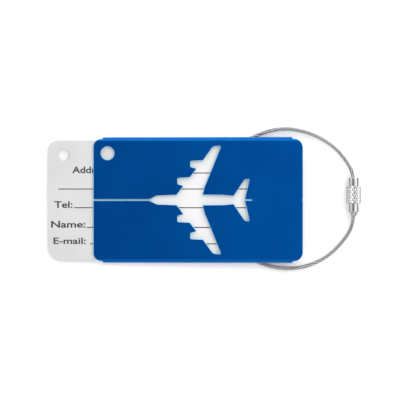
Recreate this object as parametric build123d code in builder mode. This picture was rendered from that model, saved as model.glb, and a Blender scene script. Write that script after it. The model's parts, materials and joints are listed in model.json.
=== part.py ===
from build123d import *
import os
from math import cos, pi, radians, sin, tan

# Luggage tag: a name card that slides in a folded aluminium sleeve, and a loop of wire rope
# that closes with a screw clasp. Millimetres, +Z up. The tag lies on the floor, z = 0, with
# its right half propped on the loop, and X = Y = 0 is the middle of the sleeve and the card.

# ---- sleeve: one sheet, folded round both long edges to a seam down the middle of the front
sleeve_length = 80.0
sleeve_width = 48.0
sleeve_thickness = 3.4
sheet = 0.5
corner_inset = 0.65  # the rounded corners stop this far inside the folds
left_corner_r = 3.0
right_corner_r = 3.5
fold_start = 3.4  # the folds start and end this far from the sleeve's left and right ends
fold_end_gap = 3.8
fold_step = 0.2
fold_step_r = 0.3
tag_tilt = 2.1  # degrees, from its left edge on the floor up over the loop

# ---- seam: open from the left end to the aeroplane's nose and for a short way past its tail;
# from there on the two flaps are pressed together, down to a nick at the right end
nose_slit_width = 0.36
tail_slit_width = 0.3
tail_slit_end = 60.6
seam_nick = 0.3

# ---- name card: flat sheet, slid part of the way out of the left end
card_length = 78.0
card_width = 45.9
card_thickness = 0.5
card_corner_r = 5.2
card_hole_corner_r = 3.8  # the corner with the strap hole
card_out = 17.6
card_drift = -0.15  # its middle line lies this far off the sleeve's, within its play
card_tilt = 1.3  # degrees, a little flatter than the sleeve that it lies loose in
card_height_at_mouth = 2.0  # its underside, where it leaves the sleeve

# ---- strap holes, which line up to half a millimetre when the card is pushed in
sleeve_hole_r = 2.5
sleeve_hole_x = 5.5
sleeve_hole_y = 17.85
card_hole_r = 2.3
card_hole_x = 6.3
card_hole_y = 17.35

# ---- clasp: a knurled barrel that screws onto a stud, both round one axis along Y
clasp_x = 68.2
knurl_r = 2.8
clasp_z = knurl_r + 0.01
end_r = 2.35
barrel_low = -4.6
barrel_high = 8.5
end_length = 3.2
edge_chamfer = 0.25
end_wall = 0.9
cable_hole_r = 0.95
thread_bore_r = 1.55
stud_r = 1.5
stud_top = 3.2
stud_chamfer = 0.3
tail_r = 1.7
tail_tip_r = 1.15
tail_length = 1.5
running_gap = 0.1
ferrule_r = 1.25
ferrule_low = 4.4

# ---- cable: stainless rope, one springy ring in a plane that rises from the floor to the clasp
cable_r = 0.75
ring_low_x = 15.4  # where the ring touches the floor, under the tag
ring_slope = (clasp_z - cable_r - 0.01) / (clasp_x - ring_low_x)
route_plan = [
    (clasp_x, 5.1),
    (clasp_x, 10.0),
    (65.6, 14.6),
    (59.7, 20.6),
    (50.8, 25.6),
    (40.1, 27.2),
    (29.4, 24.4),
    (20.6, 17.8),
    (15.7, 8.0),
    (15.2, -3.1),
    (18.7, -13.6),
    (26.4, -21.6),
    (36.9, -26.2),
    (48.1, -26.2),
    (58.1, -21.6),
    (65.4, -14.0),
    (clasp_x, -8.5),
    (clasp_x, -3.2),
]
cable_top_end = route_plan[0][1]
cable_low_end = route_plan[-1][1]

# ---- planes
tilt, card_angle = radians(tag_tilt), radians(card_tilt)
length_on_floor = sleeve_length * cos(tilt) + card_out + card_thickness * sin(card_angle)
sleeve_left = length_on_floor / 2 - sleeve_length * cos(tilt)
card_left = sleeve_left - card_out
card_height = card_height_at_mouth - card_out * tan(card_angle)

tag_plane = Plane(
    origin=(sleeve_left, 0, 0),
    x_dir=(cos(tilt), 0, sin(tilt)),
    z_dir=(-sin(tilt), 0, cos(tilt)),
)
section_plane = Plane(
    origin=tag_plane.from_local_coords((0, 0, sleeve_thickness / 2)),
    x_dir=(0, 1, 0),
    z_dir=tag_plane.x_dir,
)
card_plane = Plane(
    origin=(card_left, card_drift, card_height),
    x_dir=(cos(card_angle), 0, sin(card_angle)),
    z_dir=(-sin(card_angle), 0, cos(card_angle)),
)
clasp_plane = Plane(origin=(clasp_x, 0, clasp_z))
clasp_axis = Axis((clasp_x, 0, clasp_z), (0, 1, 0))

# ---- one half of the aeroplane cut-out, from nose to tail: x from the sleeve's left end,
# y from the seam, and the rounding of each point
aeroplane = [
    ((21.2, 0.0), None),
    ((24.3, 1.58), 3.0),
    ((31.95, 1.88), 0.2),
    ((34.6, 5.4), 0.15),
    ((32.35, 6.1), 0.5),
    ((32.25, 8.3), 0.6),
    ((37.0, 8.55), 0.2),
    ((39.6, 12.0), 0.15),
    ((37.3, 12.6), 0.5),
    ((37.2, 14.8), 0.6),
    ((42.0, 15.0), 0.2),
    ((45.8, 20.3), 1.5),
    ((48.8, 20.6), 0.35),
    ((44.7, 10.4), 8.0),
    ((42.45, 4.9), 6.0),
    ((41.7, 1.9), 0.2),
    ((49.6, 1.85), 6.0),
    ((53.65, 1.45), 0.2),
    ((57.85, 7.7), 0.7),
    ((59.6, 8.0), 0.3),
    ((58.75, 4.2), 8.0),
    ((57.7, 0.0), None),
]
nose_x, tail_x = aeroplane[0][0][0], aeroplane[-1][0][0]


def half_outline(points):
    """A chain of lines and roundings from the seam back to the seam."""
    places = [place for place, _ in points]
    FilletPolyline(*places, radius=[r for _, r in points[1:-1]])


# ==== sleeve
with BuildPart() as sleeve:
    with BuildSketch(section_plane):
        SlotOverall(sleeve_width, sleeve_thickness)
        SlotOverall(sleeve_width - 2 * sheet, sleeve_thickness - 2 * sheet, mode=Mode.SUBTRACT)
    extrude(amount=sleeve_length)

    # the plan outline: rounded corners, and a step where each fold begins
    fold_end = sleeve_length - fold_end_gap
    fold_y = sleeve_width / 2
    corner_y = fold_y - corner_inset
    with BuildSketch(tag_plane):
        with BuildLine():
            FilletPolyline(
                (0, 0),
                (0, corner_y),
                (fold_start, corner_y),
                (fold_start + fold_step, fold_y),
                (fold_end - fold_step, fold_y),
                (fold_end, corner_y),
                (sleeve_length, corner_y),
                (sleeve_length, 0),
                radius=[left_corner_r, 0, fold_step_r, fold_step_r, 0, right_corner_r],
            )
            mirror(about=Plane.XZ)
        make_face()
    extrude(amount=sleeve_thickness, mode=Mode.INTERSECT)

    # the aeroplane and the seam's open stretches, through the front wall only
    half_wall = sheet / 2
    with BuildSketch(tag_plane.offset(sleeve_thickness - sheet - half_wall)):
        with BuildLine():
            half_outline(aeroplane)
            mirror(about=Plane.XZ)
        make_face()
        with Locations((nose_x / 2, 0)):
            Rectangle(nose_x + 2 * sheet, nose_slit_width)
        with Locations((tail_x, 0)):
            SlotOverall(2 * (tail_slit_end - tail_x), tail_slit_width)
        with BuildLine():
            Polyline(
                (sleeve_length - seam_nick, 0),
                (sleeve_length + seam_nick, seam_nick),
                (sleeve_length + seam_nick, -seam_nick),
                close=True,
            )
        make_face()
    extrude(amount=sheet + 2 * half_wall, mode=Mode.SUBTRACT)

    with BuildSketch(tag_plane):
        with Locations((sleeve_hole_x, sleeve_hole_y)):
            Circle(sleeve_hole_r)
    extrude(amount=sleeve_thickness, mode=Mode.SUBTRACT)

# ==== name card
with BuildPart() as name_card:
    with BuildSketch(card_plane):
        with Locations((card_length / 2, 0)):
            Rectangle(card_length, card_width)
        corners = vertices()
        hole_corner = corners.sort_by(Axis.Y)[-2:].sort_by(Axis.X)[0]
        fillet([corner for corner in corners if corner is not hole_corner], card_corner_r)
        fillet(vertices().sort_by(Axis.Y)[-2:].sort_by(Axis.X)[0], card_hole_corner_r)
        with Locations((card_hole_x, card_hole_y)):
            Circle(card_hole_r, mode=Mode.SUBTRACT)
    extrude(amount=card_thickness)

# ==== clasp barrel: smooth ends, a knurled middle, open at the bottom for the stud and closed
# at the top by a wall that the cable passes and its ferrule doesn't
with BuildPart() as clasp_barrel:
    knurl_low, knurl_high = barrel_low + end_length, barrel_high - end_length
    with BuildSketch(clasp_plane):
        with BuildLine():
            Polyline(
                (thread_bore_r, barrel_low),
                (end_r - edge_chamfer, barrel_low),
                (end_r, barrel_low + edge_chamfer),
                (end_r, knurl_low),
                (knurl_r - edge_chamfer, knurl_low),
                (knurl_r, knurl_low + edge_chamfer),
                (knurl_r, knurl_high - edge_chamfer),
                (knurl_r - edge_chamfer, knurl_high),
                (end_r, knurl_high),
                (end_r, barrel_high - edge_chamfer),
                (end_r - edge_chamfer, barrel_high),
                (cable_hole_r, barrel_high),
                (cable_hole_r, barrel_high - end_wall),
                (thread_bore_r, barrel_high - end_wall),
                close=True,
            )
        make_face()
    revolve(axis=clasp_axis)

# ==== stop ferrule, crimped on the cable's top end and caught inside the barrel
with BuildPart() as stop_ferrule:
    ferrule_high = barrel_high - end_wall - running_gap
    with BuildSketch(clasp_plane):
        with BuildLine():
            Polyline(
                (0, ferrule_low),
                (ferrule_r, ferrule_low),
                (ferrule_r, ferrule_high),
                (cable_r, ferrule_high),
                (cable_r, cable_top_end),
                (0, cable_top_end),
                close=True,
            )
        make_face()
    revolve(axis=clasp_axis)

# ==== screw stud, crimped on the cable's bottom end, with a tapered tail below the barrel
with BuildPart() as screw_stud:
    shoulder = barrel_low - running_gap
    tail_end = shoulder - tail_length
    with BuildSketch(clasp_plane):
        with BuildLine():
            Polyline(
                (cable_r, tail_end),
                (tail_tip_r, tail_end),
                (tail_r, shoulder),
                (stud_r, shoulder),
                (stud_r, stud_top - stud_chamfer),
                (stud_r - stud_chamfer, stud_top),
                (0, stud_top),
                (0, cable_low_end),
                (cable_r, cable_low_end),
                close=True,
            )
        make_face()
    revolve(axis=clasp_axis)

# ==== cable
route = [Vector(x, y, clasp_z - ring_slope * (clasp_x - x)) for x, y in route_plan]
runs = [after - before for before, after in zip(route, route[1:])]
bend_share = 0.45  # of the shorter run beside it, taken up by each bend
bends = [
    bend_share * min(a.length, b.length) / tan(radians(a.get_angle(b)) / 2)
    for a, b in zip(runs, runs[1:])
]
with BuildPart() as cable:
    with BuildLine() as cable_path:
        FilletPolyline(*route, radius=bends)
    with BuildSketch(Plane(origin=cable_path.line @ 0, z_dir=cable_path.line % 0)):
        Circle(cable_r)
    sweep(path=cable_path.line)

# ==== files
sleeve.part.label = "sleeve"
name_card.part.label = "name_card"
clasp_barrel.part.label = "clasp_barrel"
stop_ferrule.part.label = "stop_ferrule"
screw_stud.part.label = "screw_stud"
cable.part.label = "cable"

os.makedirs("parts", exist_ok=True)
export_step(sleeve.part, "parts/sleeve.step")
export_step(name_card.part, "parts/name_card.step")
export_step(clasp_barrel.part, "parts/clasp_barrel.step")
export_step(stop_ferrule.part, "parts/stop_ferrule.step")
export_step(screw_stud.part, "parts/screw_stud.step")
export_step(cable.part, "parts/cable.step")

cable_length = cable_path.wire().length
tube_volume = pi * cable_r**2 * cable_length
print("cable bend radii", [round(r, 1) for r in bends])
print("cable length", round(cable_length, 2))
print("cable volume", round(cable.part.volume, 2), "and section times length", round(tube_volume, 2))
print("sleeve's left end at x", round(sleeve_left, 3))
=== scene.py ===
import json
from math import cos, pi, radians, sin, sqrt, tau

import bmesh
import bpy
import numpy as np
from mathutils import Matrix, Vector


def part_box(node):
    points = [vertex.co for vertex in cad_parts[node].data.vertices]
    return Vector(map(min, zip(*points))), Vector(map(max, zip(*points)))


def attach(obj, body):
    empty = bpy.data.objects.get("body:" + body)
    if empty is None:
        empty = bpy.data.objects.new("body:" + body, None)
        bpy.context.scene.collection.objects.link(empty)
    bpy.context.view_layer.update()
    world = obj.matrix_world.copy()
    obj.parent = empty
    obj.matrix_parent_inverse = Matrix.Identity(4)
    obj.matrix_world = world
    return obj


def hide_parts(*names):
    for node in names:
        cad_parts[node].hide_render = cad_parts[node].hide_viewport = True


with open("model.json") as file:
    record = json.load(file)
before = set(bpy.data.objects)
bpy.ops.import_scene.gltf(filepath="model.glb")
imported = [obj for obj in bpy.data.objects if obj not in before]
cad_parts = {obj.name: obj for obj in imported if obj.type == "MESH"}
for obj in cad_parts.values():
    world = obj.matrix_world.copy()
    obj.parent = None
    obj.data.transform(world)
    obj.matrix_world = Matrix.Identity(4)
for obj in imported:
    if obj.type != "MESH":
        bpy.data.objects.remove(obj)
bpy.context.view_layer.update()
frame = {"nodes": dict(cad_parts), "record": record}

MM = 0.001
scene = bpy.context.scene
mounts = {m["name"]: m for m in frame["record"]["mounts"]}


# ---------------------------------------------------------------- places, from the frame
def plane_at(mount, above):
    """A matrix whose Z is the mount's axis and X runs along the tag, above metres over it."""
    up = Vector(mounts[mount]["axis"])
    along = Vector((up.z, 0, -up.x))
    turn = Matrix((along, up.cross(along), up)).transposed().to_4x4()
    return Matrix.Translation(Vector(mounts[mount]["pos_m"]) + up * above) @ turn


barrel_low, barrel_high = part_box("clasp_barrel")
clasp_x = (barrel_low.x + barrel_high.x) / 2
clasp_z = (barrel_low.z + barrel_high.z) / 2
knurl_r = (barrel_high.x - barrel_low.x) / 2


# ---------------------------------------------------------------- camera
VIEW_SPAN = 152.4 * MM  # what the picture's side spans at the tag's face
VIEW_MIDDLE = 9.5 * MM  # along the tag
FACE_Z = 4.6 * MM
LENS, SENSOR = 135, 36

camera = bpy.data.objects.new("camera", bpy.data.cameras.new("camera"))
scene.collection.objects.link(camera)
camera.data.lens = LENS
camera.data.sensor_width = SENSOR
camera.location = (VIEW_MIDDLE, 0, FACE_Z + VIEW_SPAN * LENS / SENSOR)
camera.data.clip_start = 0.01
camera.data.clip_end = 20
scene.camera = camera


# ---------------------------------------------------------------- mesh helpers
def link(name, mesh, body, *materials):
    """Puts a mesh in the scene as a piece that rides on body."""
    obj = bpy.data.objects.new(name, mesh)
    scene.collection.objects.link(obj)
    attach(obj, body)
    slots = [face.material_index for face in mesh.polygons]
    mesh.materials.clear()  # this resets the faces' slots too
    for material in materials:
        mesh.materials.append(material)
    mesh.polygons.foreach_set("material_index", slots)
    return obj


def mesh_from(name, points, faces, sharp_deg=35):
    """A smooth mesh whose edges over sharp_deg stay crisp."""
    mesh = bpy.data.meshes.new(name)
    mesh.from_pydata([tuple(p) for p in points], [], faces)
    mesh.shade_smooth()
    mesh.set_sharp_from_angle(angle=radians(sharp_deg))
    return mesh


def grid_faces(rows, columns, start=0, close_rows=False):
    """Quads over a grid of rows by columns that closes round its columns."""
    faces = []
    for i in range(rows if close_rows else rows - 1):
        for j in range(columns):
            k = (j + 1) % columns
            below, above = start + i * columns, start + (i + 1) % rows * columns
            faces.append((below + j, below + k, above + k, above + j))
    return faces


# ---------------------------------------------------------------- materials
def principled(name, color, metallic, roughness):
    """A new material and its shader, with the plain values that nodes then vary."""
    material = bpy.data.materials.new(name)
    material.use_nodes = True
    shader = material.node_tree.nodes["Principled BSDF"]
    shader.inputs["Base Color"].default_value = (*color, 1)
    shader.inputs["Metallic"].default_value = metallic
    shader.inputs["Roughness"].default_value = roughness
    return material, shader


def add(material, kind, links=(), **values):
    """Adds a node, sets its named inputs or attributes, and links (output, own input) pairs."""
    node = material.node_tree.nodes.new(kind)
    for key, value in values.items():
        if hasattr(node, key):
            setattr(node, key, value)
        else:
            node.inputs[key.replace("_", " ")].default_value = value
    for output, own in links:
        material.node_tree.links.new(output, node.inputs[own])
    return node


def noise(material, place, scale, detail=2.0, roughness=0.5):
    return add(material, "ShaderNodeTexNoise", [(place, "Vector")], Scale=scale, Detail=detail,
               Roughness=roughness).outputs["Fac"]


def ramp(material, factor, stops):
    """The colour that (place, color) stops give for a 0 to 1 factor."""
    node = add(material, "ShaderNodeValToRGB", [(factor, "Fac")])
    elements = node.color_ramp.elements
    while len(elements) < len(stops):
        elements.new(0.5)
    for element, (place, color) in zip(elements, stops):
        element.position = place
        element.color = (*color, 1)
    return node.outputs["Color"]


def spread(material, value, low, high):
    """Stretches a 0 to 1 value over low to high."""
    return add(material, "ShaderNodeMapRange", [(value, "Value")], To_Min=low,
               To_Max=high).outputs["Result"]


def mask(material, value, start, end):
    """0 before start, 1 after end, and even in between."""
    return add(material, "ShaderNodeMapRange", [(value, "Value")], From_Min=start,
               From_Max=end).outputs["Result"]


def blended(material, factor, color, other):
    """A colour output, turning to the plain colour other as factor goes to 1."""
    node = add(material, "ShaderNodeMix", [(factor, "Factor"), (color, "A")], data_type="RGBA")
    node.inputs["B"].default_value = (*other, 1)
    return node.outputs["Result"]


def bump(material, shader, height, strength, distance):
    node = add(material, "ShaderNodeBump", [(height, "Height")], Strength=strength,
               Distance=distance)
    material.node_tree.links.new(node.outputs["Normal"], shader.inputs["Normal"])


def place_of(material, stretch=(1, 1, 1)):
    """Object coordinates in millimetres, stretched."""
    coords = add(material, "ShaderNodeTexCoord").outputs["Object"]
    scale = tuple(s / MM for s in stretch)
    return add(material, "ShaderNodeMapping", [(coords, "Vector")], Scale=scale).outputs["Vector"]


FOLD_START, FOLD_END = 21.4, 24  # mm from the middle line to the folded edges
PAINTED_LIGHT_START, PAINTED_LIGHT_END = -26, -12  # mm along the tag, over which the card's base colour turns to the painted light it has inside the sleeve


def blue_anodised():
    """Dyed aluminium with a fine bead-blasted grain, and a painted sheen on the folds: a base
    colour less blue and so more cyan there.
    """
    material, shader = principled("blue_anodised", (0.002, 0.12, 0.52), 1.0, 0.36)
    wire = material.node_tree.links.new
    place = place_of(material)
    cloud = noise(material, place, 0.05, 2)
    grain = noise(material, place, 6.0, 3, 0.6)
    face = ramp(material, cloud, [(0.3, (0.0015, 0.11, 0.49)), (0.7, (0.001, 0.134, 0.56))])
    across = add(material, "ShaderNodeSeparateXYZ", [(place, 0)]).outputs["Y"]
    outward = add(material, "ShaderNodeMath", [(across, 0)], operation="ABSOLUTE").outputs[0]
    # painted sheen: towards the folded edges the base colour turns more cyan, for the reflection
    # the folds show
    fold_sheen = mask(material, outward, FOLD_START, FOLD_END)
    wire(blended(material, fold_sheen, face, (0.003, 0.12, 0.42)), shader.inputs["Base Color"])
    wire(spread(material, grain, 0.27, 0.39), shader.inputs["Roughness"])
    bump(material, shader, grain, 0.12, 0.02 * MM)
    return material


def blue_edge_highlight():
    """The rounded rims of the sheet, with a painted highlight: a pale blue base colour that makes
    them show bright.
    """
    material, shader = principled("blue_edge_highlight", (0.1, 0.5, 0.8), 0.2, 0.3)
    rim_highlight_mottle = noise(material, place_of(material), 1.5, 3)
    # painted highlight on the rims, pale blue, uneven at random
    color = ramp(material, rim_highlight_mottle, [(0.35, (0.2, 0.6, 0.86)), (0.7, (0.36, 0.74, 0.92))])
    material.node_tree.links.new(color, shader.inputs["Base Color"])
    return material


def satin_card():
    """Silver-white lacquered aluminium with a faint brushed grain along the card, and a painted
    light: its base colour is darker where it sticks out than inside the sleeve."""
    material, shader = principled("satin_card", (0.8, 0.8, 0.81), 0.35, 0.42)
    wire = material.node_tree.links.new
    brushed = noise(material, place_of(material, (0.15, 9, 9)), 1.0, 3)
    cloud = noise(material, place_of(material), 0.06, 2)
    outside_tone = ramp(material, cloud, [(0.3, (0.6, 0.603, 0.605)), (0.7, (0.65, 0.65, 0.653))])
    along = add(material, "ShaderNodeSeparateXYZ", [(place_of(material), 0)]).outputs["X"]
    # painted light: the card's base colour turns brighter inside the sleeve than outside it
    inside_painted_light = mask(material, along, PAINTED_LIGHT_START, PAINTED_LIGHT_END)
    wire(blended(material, inside_painted_light, outside_tone, (0.77, 0.77, 0.775)), shader.inputs["Base Color"])
    wire(spread(material, brushed, 0.36, 0.5), shader.inputs["Roughness"])
    bump(material, shader, brushed, 0.08, 0.02 * MM)
    return material


def rope_steel():
    """Drawn stainless wire, with painted shade near black in the grooves between strands and a
    painted highlight on the strands' crowns.
    """
    material, shader = principled("rope_steel", (0.5, 0.5, 0.5), 1.0, 0.32)
    wire = material.node_tree.links.new
    patches = noise(material, place_of(material), 1.3, 3)
    height = add(material, "ShaderNodeAttribute", attribute_name="crown").outputs["Fac"]
    uneven = spread(material, patches, -0.06, 0.06)
    crown_light_and_shade = add(material, "ShaderNodeMath", [(height, 0), (uneven, 1)]).outputs[0]
    # painted shade near black in the grooves and the core, painted highlight on the strands'
    # crowns
    color = ramp(material, crown_light_and_shade, [
        (0.83, (0.008, 0.008, 0.008)), (0.91, (0.12, 0.12, 0.12)), (0.975, (0.97, 0.97, 0.96))])
    wire(color, shader.inputs["Base Color"])
    wire(spread(material, patches, 0.24, 0.4), shader.inputs["Roughness"])
    return material


def bright_plate():
    """Polished nickel plate over turned steel."""
    material, shader = principled("bright_plate", (0.66, 0.66, 0.655), 1.0, 0.12)
    wire = material.node_tree.links.new
    turned = noise(material, place_of(material, (0.2, 25, 0.2)), 1.0, 2)
    wire(spread(material, turned, 0.07, 0.17), shader.inputs["Roughness"])
    bump(material, shader, turned, 0.05, 0.005 * MM)
    return material


def print_ink():
    """Near-black screen print, slightly speckled."""
    material, shader = principled("print_ink", (0.05, 0.05, 0.052), 0.0, 0.55)
    speckle = noise(material, place_of(material), 12, 2)
    color = ramp(material, speckle, [(0.3, (0.02, 0.02, 0.021)), (0.75, (0.045, 0.045, 0.048))])
    material.node_tree.links.new(color, shader.inputs["Base Color"])
    return material


blue, blue_rim_highlight, silver, steel, plate, ink = (
    blue_anodised(), blue_edge_highlight(), satin_card(), rope_steel(), bright_plate(), print_ink())


# ---------------------------------------------------------------- wire rope
ROPE_R = 0.75 * MM
RING_LOW_X = 15.4 * MM  # where the ring touches the floor
RING_LIFT = 0.01 * MM  # the least air under the rope
ring_slope = (clasp_z - ROPE_R - RING_LIFT) / (clasp_x - RING_LOW_X)
ROUTE = [
    (0.0682, 0.0051),
    (0.0682, 0.0098),
    (0.0657, 0.0147),
    (0.0603, 0.0210),
    (0.0511, 0.0261),
    (0.0404, 0.0278),
    (0.0294, 0.0244),
    (0.0206, 0.0178),
    (0.0157, 0.0080),
    (0.0152, -0.0031),
    (0.0187, -0.0136),
    (0.0264, -0.0215),
    (0.0369, -0.0260),
    (0.0482, -0.0263),
    (0.0584, -0.0219),
    (0.0656, -0.0142),
    (0.0682, -0.0086),
    (0.0682, -0.0032),
]
ROPE_LAY = 9.2 * MM  # along the rope, for one turn of a strand
WIRE_LAY = 3.0 * MM  # for one turn of a wire in its strand
STRANDS, WIRES = 6, 6  # round the middle one
RING_STEP = 0.3 * MM
WIRE_SPOTS = (-0.98, -0.45, 0, 0.45)  # points across a wire, from valley to valley being -1 to 1


def rope_line():
    """Points along the smooth curve that the route steers, evenly spaced, and their directions."""
    data = bpy.data.curves.new("route", "CURVE")
    data.dimensions = "3D"
    data.resolution_u = 32
    spline = data.splines.new("NURBS")
    spline.points.add(len(ROUTE) - 1)
    for point, (x, y) in zip(spline.points, ROUTE):
        point.co = (x, y, clasp_z - ring_slope * (clasp_x - x), 1)
    spline.order_u = 3
    spline.use_endpoint_u = True
    guide = bpy.data.objects.new("route", data)
    mesh = bpy.data.meshes.new_from_object(guide)
    line = np.array([v.co for v in mesh.vertices], float)
    bpy.data.objects.remove(guide)
    bpy.data.meshes.remove(mesh)
    along = np.concatenate([[0], np.cumsum(np.linalg.norm(np.diff(line, axis=0), axis=1))])
    at = np.linspace(0, along[-1], int(along[-1] / RING_STEP) + 1)
    even = np.stack([np.interp(at, along, line[:, k]) for k in range(3)], axis=1)
    ahead = np.gradient(even, axis=0)
    ahead /= np.linalg.norm(ahead, axis=1)[:, None]
    return even, ahead, at


def strand_outline(wire_r):
    """Angles and radii round a strand of touching wires of radius wire_r."""
    centre_r = 2 * wire_r
    half = pi / WIRES
    angles = [2 * half * k + half * t for k in range(WIRES) for t in WIRE_SPOTS]
    radii = []
    for angle in angles:
        off = (angle + half) % (2 * half) - half
        inside = max(wire_r**2 - (centre_r * sin(off)) ** 2, 0)
        radii.append(centre_r * cos(off) + sqrt(inside))
    return np.array(angles), np.array(radii)


def build_rope():
    """The rope's strands, with each point's height over the grooves between them as "crown"."""
    centre, ahead, at = rope_line()
    up = np.array([-ring_slope, 0, 1]) / sqrt(1 + ring_slope**2)
    up = up - (ahead @ up)[:, None] * ahead
    up /= np.linalg.norm(up, axis=1)[:, None]
    side = np.cross(ahead, up)
    strand_r = ROPE_R / 3
    lay_r = ROPE_R - strand_r
    angles, radii = strand_outline(strand_r / 3)
    points, faces, crowns = [], [], []
    for k in range(STRANDS + 1):
        core = k == STRANDS
        turn = tau * (k / STRANDS + at / ROPE_LAY)
        out = np.cos(turn)[:, None] * up + np.sin(turn)[:, None] * side
        lean = np.cross(ahead, out)
        middle = centre + out * (0 if core else lay_r)
        path = ahead + lean * (0 if core else tau * lay_r / ROPE_LAY)
        path /= np.linalg.norm(path, axis=1)[:, None]
        across = np.cross(path, out)
        twist = -tau * at * (1 / WIRE_LAY + 1 / ROPE_LAY)
        start = len(points)
        for i in range(len(at)):
            a = angles + twist[i]
            ring = (middle[i] + (radii * np.cos(a))[:, None] * out[i]
                    + (radii * np.sin(a))[:, None] * across[i])
            points.extend(ring)
            reach = lay_r**2 + strand_r**2 + 2 * lay_r * strand_r * np.cos(a)
            crowns.extend(0 * a if core else np.sqrt(reach) / ROPE_R)
        faces += grid_faces(len(at), len(angles), start)
        for first, back in ((start, True), (start + (len(at) - 1) * len(angles), False)):
            cap = list(range(first, first + len(angles)))
            faces.append(tuple(cap[::-1] if back else cap))
    mesh = mesh_from("wire_rope", points, faces, sharp_deg=50)
    mesh.attributes.new("crown", "FLOAT", "POINT").data.foreach_set("value", crowns)
    return mesh, centre


rope_mesh, rope_path = build_rope()
rope = link("wire_rope", rope_mesh, "loop", steel)
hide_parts("cable")


# ---------------------------------------------------------------- clasp
def lathe(profile, columns, radius_at):
    """Points and faces of a closed (radius, y) profile in mm turned round the clasp's axis, each
    point's radius being what radius_at(angle, r, y) says."""
    points = []
    for r, y in profile:
        for j in range(columns):
            a = tau * j / columns
            own = radius_at(a, r, y)
            points.append((clasp_x + own * MM * sin(a), y * MM, clasp_z + own * MM * cos(a)))
    return points, grid_faces(len(profile), columns, close_rows=True)


def rounded(r, y, dr, dy, radius, steps=4):
    """Points of a quarter round at the outer corner (r, y): it runs in from (r - radius, y) when
    dr is 1, and dy says which way along the axis the body lies."""
    cx, cy = r - radius, y + dy * radius
    turn = [pi / 2 * k / steps for k in range(steps + 1)]
    arc = [(cx + radius * sin(t), cy - dy * radius * cos(t)) for t in turn]
    return arc if dr > 0 else arc[::-1]


LOW, HIGH = barrel_low.y / MM, barrel_high.y / MM
KNURL_R, END_R, END_LENGTH, END_WALL = knurl_r / MM, 2.35, 3.2, 0.9
HOLE_R, BORE_R = 0.95, 1.55
KNURL_LOW, KNURL_HIGH = LOW + END_LENGTH, HIGH - END_LENGTH
KNURL_CELLS, KNURL_DEPTH, KNURL_LEAD = 17, 0.27, 1.9  # lead: mm along the axis for one cell
KNURL_RINGS, KNURL_COLUMNS = 96, KNURL_CELLS * 16
KNURL_EDGE = 0.29  # height of the band's chamfers
LIP_RISE, LIP_ROUND = 0.03, 0.22


def knurl_radius(angle, r, y):
    """Two crossing sets of V grooves leave pyramids, on the band and on its chamfers."""
    if r < KNURL_R - KNURL_EDGE - 0.01:
        return r
    around = angle / tau * KNURL_CELLS
    deep = max(abs((around + sign * y / KNURL_LEAD) % 1 - 0.5) * 2 for sign in (1, -1))
    return r - KNURL_DEPTH * max(0.0, deep * 1.15 - 0.15)


def build_barrel():
    """The sleeve nut, from its open end: smooth collar, knurled band, smooth collar, end wall."""
    profile = [(BORE_R, LOW + 0.1), (BORE_R + 0.1, LOW)]
    profile += rounded(END_R, LOW, 1, 1, LIP_ROUND)
    profile += [(END_R, LOW + 0.6 * k) for k in (1, 2, 3, 4)] + [(END_R, KNURL_LOW - 0.02)]
    profile += [(END_R + LIP_RISE, KNURL_LOW), (KNURL_R - KNURL_EDGE, KNURL_LOW)]
    profile += [(KNURL_R - 0.15, KNURL_LOW + 0.06)]
    band = KNURL_HIGH - KNURL_LOW - 0.36
    profile += [(KNURL_R, KNURL_LOW + 0.18 + band * k / KNURL_RINGS)
                for k in range(KNURL_RINGS + 1)]
    profile += [(KNURL_R - 0.15, KNURL_HIGH - 0.06)]
    profile += [(KNURL_R - KNURL_EDGE, KNURL_HIGH), (END_R + LIP_RISE, KNURL_HIGH)]
    profile += [(END_R, KNURL_HIGH + 0.02)] + [(END_R, HIGH - 0.6 * k) for k in (4, 3, 2, 1)]
    profile += rounded(END_R, HIGH, -1, -1, LIP_ROUND)
    profile += [(HOLE_R + 0.12, HIGH), (HOLE_R, HIGH - 0.12), (HOLE_R, HIGH - END_WALL)]
    profile += [(BORE_R, HIGH - END_WALL)]
    points, faces = lathe(profile, KNURL_COLUMNS, knurl_radius)
    return mesh_from("clasp_barrel_knurled", points, faces, sharp_deg=22)


barrel = link("clasp_barrel_knurled", build_barrel(), "barrel", plate)
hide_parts("clasp_barrel")

STUD_R, STUD_TOP, TAIL_R, TAIL_TIP_R, TAIL_LENGTH = 1.5, 3.2, 1.7, 1.15, 1.5
THREAD_PITCH, THREAD_DEPTH, THREAD_RINGS = 0.5, 0.28, 110
STUD_COLUMNS = 48
STUD_CHAMFER = 0.3
ROPE_SOCKET_Y = -3.2  # how far up the stud the rope goes


def thread_radius(angle, r, y):
    """A V thread round the plain stud, faded in at both ends."""
    if r < STUD_R - 0.01 or r > STUD_R + 0.01 or y < LOW:
        return r
    along = (y / THREAD_PITCH - angle / tau) % 1
    fade = min(1, (y - LOW) / 0.6, (STUD_TOP - STUD_CHAMFER - y) / 0.4)
    return r - THREAD_DEPTH * abs(along - 0.5) * 2 * max(0, fade)


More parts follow.
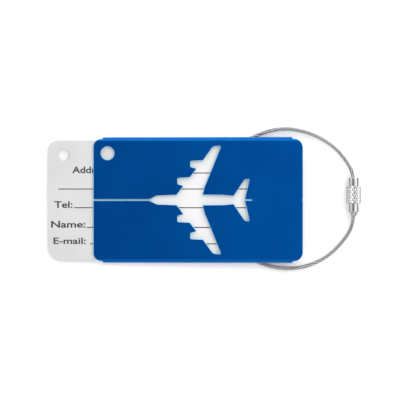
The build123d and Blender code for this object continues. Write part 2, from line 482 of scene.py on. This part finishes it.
def build_stud():
    """The stud, from the mouth that holds the rope: tapered tail, shoulder, thread, blunt top."""
    shoulder = LOW - 0.1
    end = shoulder - TAIL_LENGTH
    bore = ROPE_R / MM
    profile = [(bore, end + 0.05), (bore + 0.06, end)]
    profile += [(TAIL_TIP_R - 0.12, end), (TAIL_TIP_R - 0.03, end + 0.05),
                (TAIL_TIP_R, end + 0.14)]
    profile += [(TAIL_R - 0.06, shoulder - 0.3), (TAIL_R, shoulder - 0.14),
                (TAIL_R - 0.06, shoulder)]
    profile += [(STUD_R, shoulder)]
    span = STUD_TOP - STUD_CHAMFER - shoulder
    profile += [(STUD_R, shoulder + span * k / THREAD_RINGS) for k in range(1, THREAD_RINGS + 1)]
    profile += [(STUD_R - STUD_CHAMFER, STUD_TOP), (0.02, STUD_TOP), (0.02, ROPE_SOCKET_Y),
                (bore, ROPE_SOCKET_Y)]
    points, faces = lathe(profile, STUD_COLUMNS, thread_radius)
    return mesh_from("threaded_stud", points, faces, sharp_deg=30)


stud = link("threaded_stud", build_stud(), "loop", plate)
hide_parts("screw_stud")

ferrule = frame["nodes"]["stop_ferrule"]
ferrule.data.materials.clear()
ferrule.data.materials.append(plate)


# ---------------------------------------------------------------- sheet metal
SHARP_DEG, FLAT_DEG = 30, 0.3  # edges over the first are rounded, under the second merged
SLEEVE_EDGE, CARD_EDGE = 0.14 * MM, 0.08 * MM


def softened(node, name, edge, rim=-1):
    """A copy of a CAD node's mesh with its flat faces merged and its sharp edges rounded by edge
    metres, in the material slot rim, or in their neighbours' where that is -1."""
    mesh = frame["nodes"][node].data.copy()
    mesh.name = name
    work = bmesh.new()
    work.from_mesh(mesh)
    bmesh.ops.remove_doubles(work, verts=work.verts, dist=1e-7)
    bmesh.ops.dissolve_limit(work, angle_limit=radians(FLAT_DEG), verts=work.verts,
                             edges=work.edges)
    sharp = [e for e in work.edges if e.is_manifold and e.calc_face_angle(0) > radians(SHARP_DEG)]
    bmesh.ops.bevel(work, geom=sharp, offset=edge, offset_type="OFFSET", segments=3,
                    profile=0.5, affect="EDGES", clamp_overlap=False, material=rim)
    work.to_mesh(mesh)
    work.free()
    mesh.shade_smooth()
    return mesh


def flat_shaded(obj):
    """Large faces keep their own normals, so only the rounded edges shade smoothly."""
    weighted = obj.modifiers.new("weighted", "WEIGHTED_NORMAL")
    weighted.weight = 100
    weighted.keep_sharp = True


# slot 1, the rounded edges, carries the painted highlight on the rims
sleeve = link("folded_sleeve", softened("sleeve", "folded_sleeve", SLEEVE_EDGE, rim=1), "sleeve",
              blue, blue_rim_highlight)
flat_shaded(sleeve)
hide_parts("sleeve")

card = link("name_card_satin", softened("name_card", "name_card_satin", CARD_EDGE), "card",
            silver)
flat_shaded(card)
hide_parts("name_card")


# ---------------------------------------------------------------- print on the card
CARD_THICK = 0.5 * MM
HOLE_X, HOLE_Y = 6.3, 17.2  # the card's hole from its outer end and the tag's middle line, mm
INK_THICK = 0.012 * MM
LINE_WIDTH = 0.38
RULE_END = 76.4
CAP_UNITS = 0.73  # height of a capital in the built-in font at size 1
BOLDER = 0.022  # how far the letters' outlines grow, in the same units
HALF_THICK = 0.001  # of the flat print before it is laid on the card
on_card = plane_at("card_strap_hole", CARD_THICK / 2)

# label, its left end, its baseline, its width, cap height; then where the rule starts
FORM = [
    ("Address:", 9.4, 10.3, 15.2, 2.6, 29.4),
    (None, 0, 4.2, 0, 0, 4.0),
    ("Tel:", 2.5, -2.95, 7.0, 2.6, 10.1),
    ("Name:", 1.3, -10.5, 13.2, 2.55, 15.0),
    ("E-mail:", 2.2, -16.75, 12.4, 2.45, 16.2),
]


def print_label(text, x, y, width, cap):
    """A mesh of one label, in mm, starting at x on the baseline y."""
    data = bpy.data.curves.new("label", "FONT")
    data.body = text
    data.offset = BOLDER
    data.extrude = HALF_THICK
    shape = bpy.data.objects.new("label", data)
    scene.collection.objects.link(shape)
    bpy.context.view_layer.update()
    mesh = bpy.data.meshes.new_from_object(shape.evaluated_get(
        bpy.context.evaluated_depsgraph_get()))
    bpy.data.objects.remove(shape)
    co = np.array([v.co for v in mesh.vertices])
    scale = (width / np.ptp(co[:, 0]), cap / CAP_UNITS)
    for v in mesh.vertices:
        v.co = ((v.co.x - co[:, 0].min()) * scale[0] + x, v.co.y * scale[1] + y, v.co.z)
    return mesh


def build_print():
    """The form's labels and rules as one thin mesh, laid on the card."""
    work = bmesh.new()
    for text, x, y, width, cap, rule in FORM:
        if text:
            work.from_mesh(print_label(text, x, y, width, cap))
        bar = [(rule, y - LINE_WIDTH / 2), (RULE_END, y - LINE_WIDTH / 2),
               (RULE_END, y + LINE_WIDTH / 2), (rule, y + LINE_WIDTH / 2)]
        under, over = ([work.verts.new((px, py, pz)) for px, py in bar]
                       for pz in (-HALF_THICK, HALF_THICK))
        work.faces.new(under[::-1])
        work.faces.new(over)
        for i in range(4):
            k = (i + 1) % 4
            work.faces.new((under[i], under[k], over[k], over[i]))
    for v in work.verts:
        top = v.co.z > 0
        flat = Vector(((v.co.x - HOLE_X) * MM, (v.co.y - HOLE_Y) * MM, INK_THICK if top else 0))
        v.co = on_card @ flat
    mesh = bpy.data.meshes.new("card_print")
    work.to_mesh(mesh)
    work.free()
    return mesh


printed = link("card_print", build_print(), "card", ink)


# ---------------------------------------------------------------- floor and lights
FLOOR_HALF = 3.0
CEILING_LEAN = (3, 11, 0)  # degrees
BRIGHT_SIDE = (0.25, 0.5, 0)  # the walls get brighter this way
WALLS = [(0.0, 0.12), (0.18, 0.14), (0.32, 1.1), (0.88, 1.1), (0.985, 0.22)]  # height, grey
BACKDROP = (0.95, 0.95, 0.95)


def build_stage():
    half = FLOOR_HALF
    floor = bpy.data.objects.new("floor", mesh_from(
        "floor", [(-half, -half, 0), (half, -half, 0), (half, half, 0), (-half, half, 0)],
        [(0, 1, 2, 3)]))
    scene.collection.objects.link(floor)
    material, shader = principled("floor_white", (0.9, 0.9, 0.9), 0.0, 0.75)
    shader.inputs["Specular IOR Level"].default_value = 0.2
    floor.data.materials.append(material)


def softbox(name, place, size, watts, target=(0, 0, 0), reflected=True):
    lamp = bpy.data.lights.new(name, "AREA")
    lamp.shape = "RECTANGLE"
    lamp.size, lamp.size_y = size
    lamp.energy = watts
    obj = bpy.data.objects.new(name, lamp)
    scene.collection.objects.link(obj)
    obj.location = place
    obj.rotation_mode = "QUATERNION"
    obj.rotation_quaternion = (Vector(target) - Vector(place)).to_track_quat("-Z", "Y")
    obj.visible_camera = False
    obj.visible_glossy = reflected


def build_world():
    """What the metal mirrors: bright walls over a dim skirting, brighter on one side, and a dim
    patch of ceiling over the tag. The backdrop itself is plain and pale."""
    world = bpy.data.worlds.new("studio")
    scene.world = world
    world.use_nodes = True
    generated = add(world, "ShaderNodeTexCoord").outputs["Generated"]
    way = add(world, "ShaderNodeMapping", [(generated, "Vector")],
              Rotation=[radians(lean) for lean in CEILING_LEAN]).outputs["Vector"]
    up = add(world, "ShaderNodeSeparateXYZ", [(way, 0)]).outputs["Z"]
    shade = ramp(world, up, [(height, (grey, grey, grey)) for height, grey in WALLS])
    toward = add(world, "ShaderNodeVectorMath", [(way, 0)], operation="DOT_PRODUCT")
    toward.inputs[1].default_value = BRIGHT_SIDE
    gain = add(world, "ShaderNodeMath", [(toward.outputs["Value"], 0)])
    gain.inputs[1].default_value = 1
    walls = add(world, "ShaderNodeVectorMath",
                [(shade, 0), (gain.outputs["Value"], "Scale")], operation="SCALE")
    direct = add(world, "ShaderNodeLightPath").outputs["Is Camera Ray"]
    seen = blended(world, direct, walls.outputs["Vector"], BACKDROP)
    world.node_tree.links.new(seen, world.node_tree.nodes["Background"].inputs["Color"])


build_stage()
build_world()
softbox("overhead", (0, 0.12, 1.0), (1.3, 1.3), 2.6, reflected=False)
softbox("fill", (0.01, 0, 0.9), (0.2, 0.2), 1.6, reflected=False)
softbox("key", (0.3, 0.22, 0.45), (0.3, 0.3), 0.5)
softbox("strip_back", (0, 0.8, 0.3), (1.4, 0.35), 1.5)
softbox("strip_front", (0, -0.8, 0.3), (1.4, 0.35), 1)
scene.view_settings.view_transform = "Standard"
scene.view_settings.look = "None"
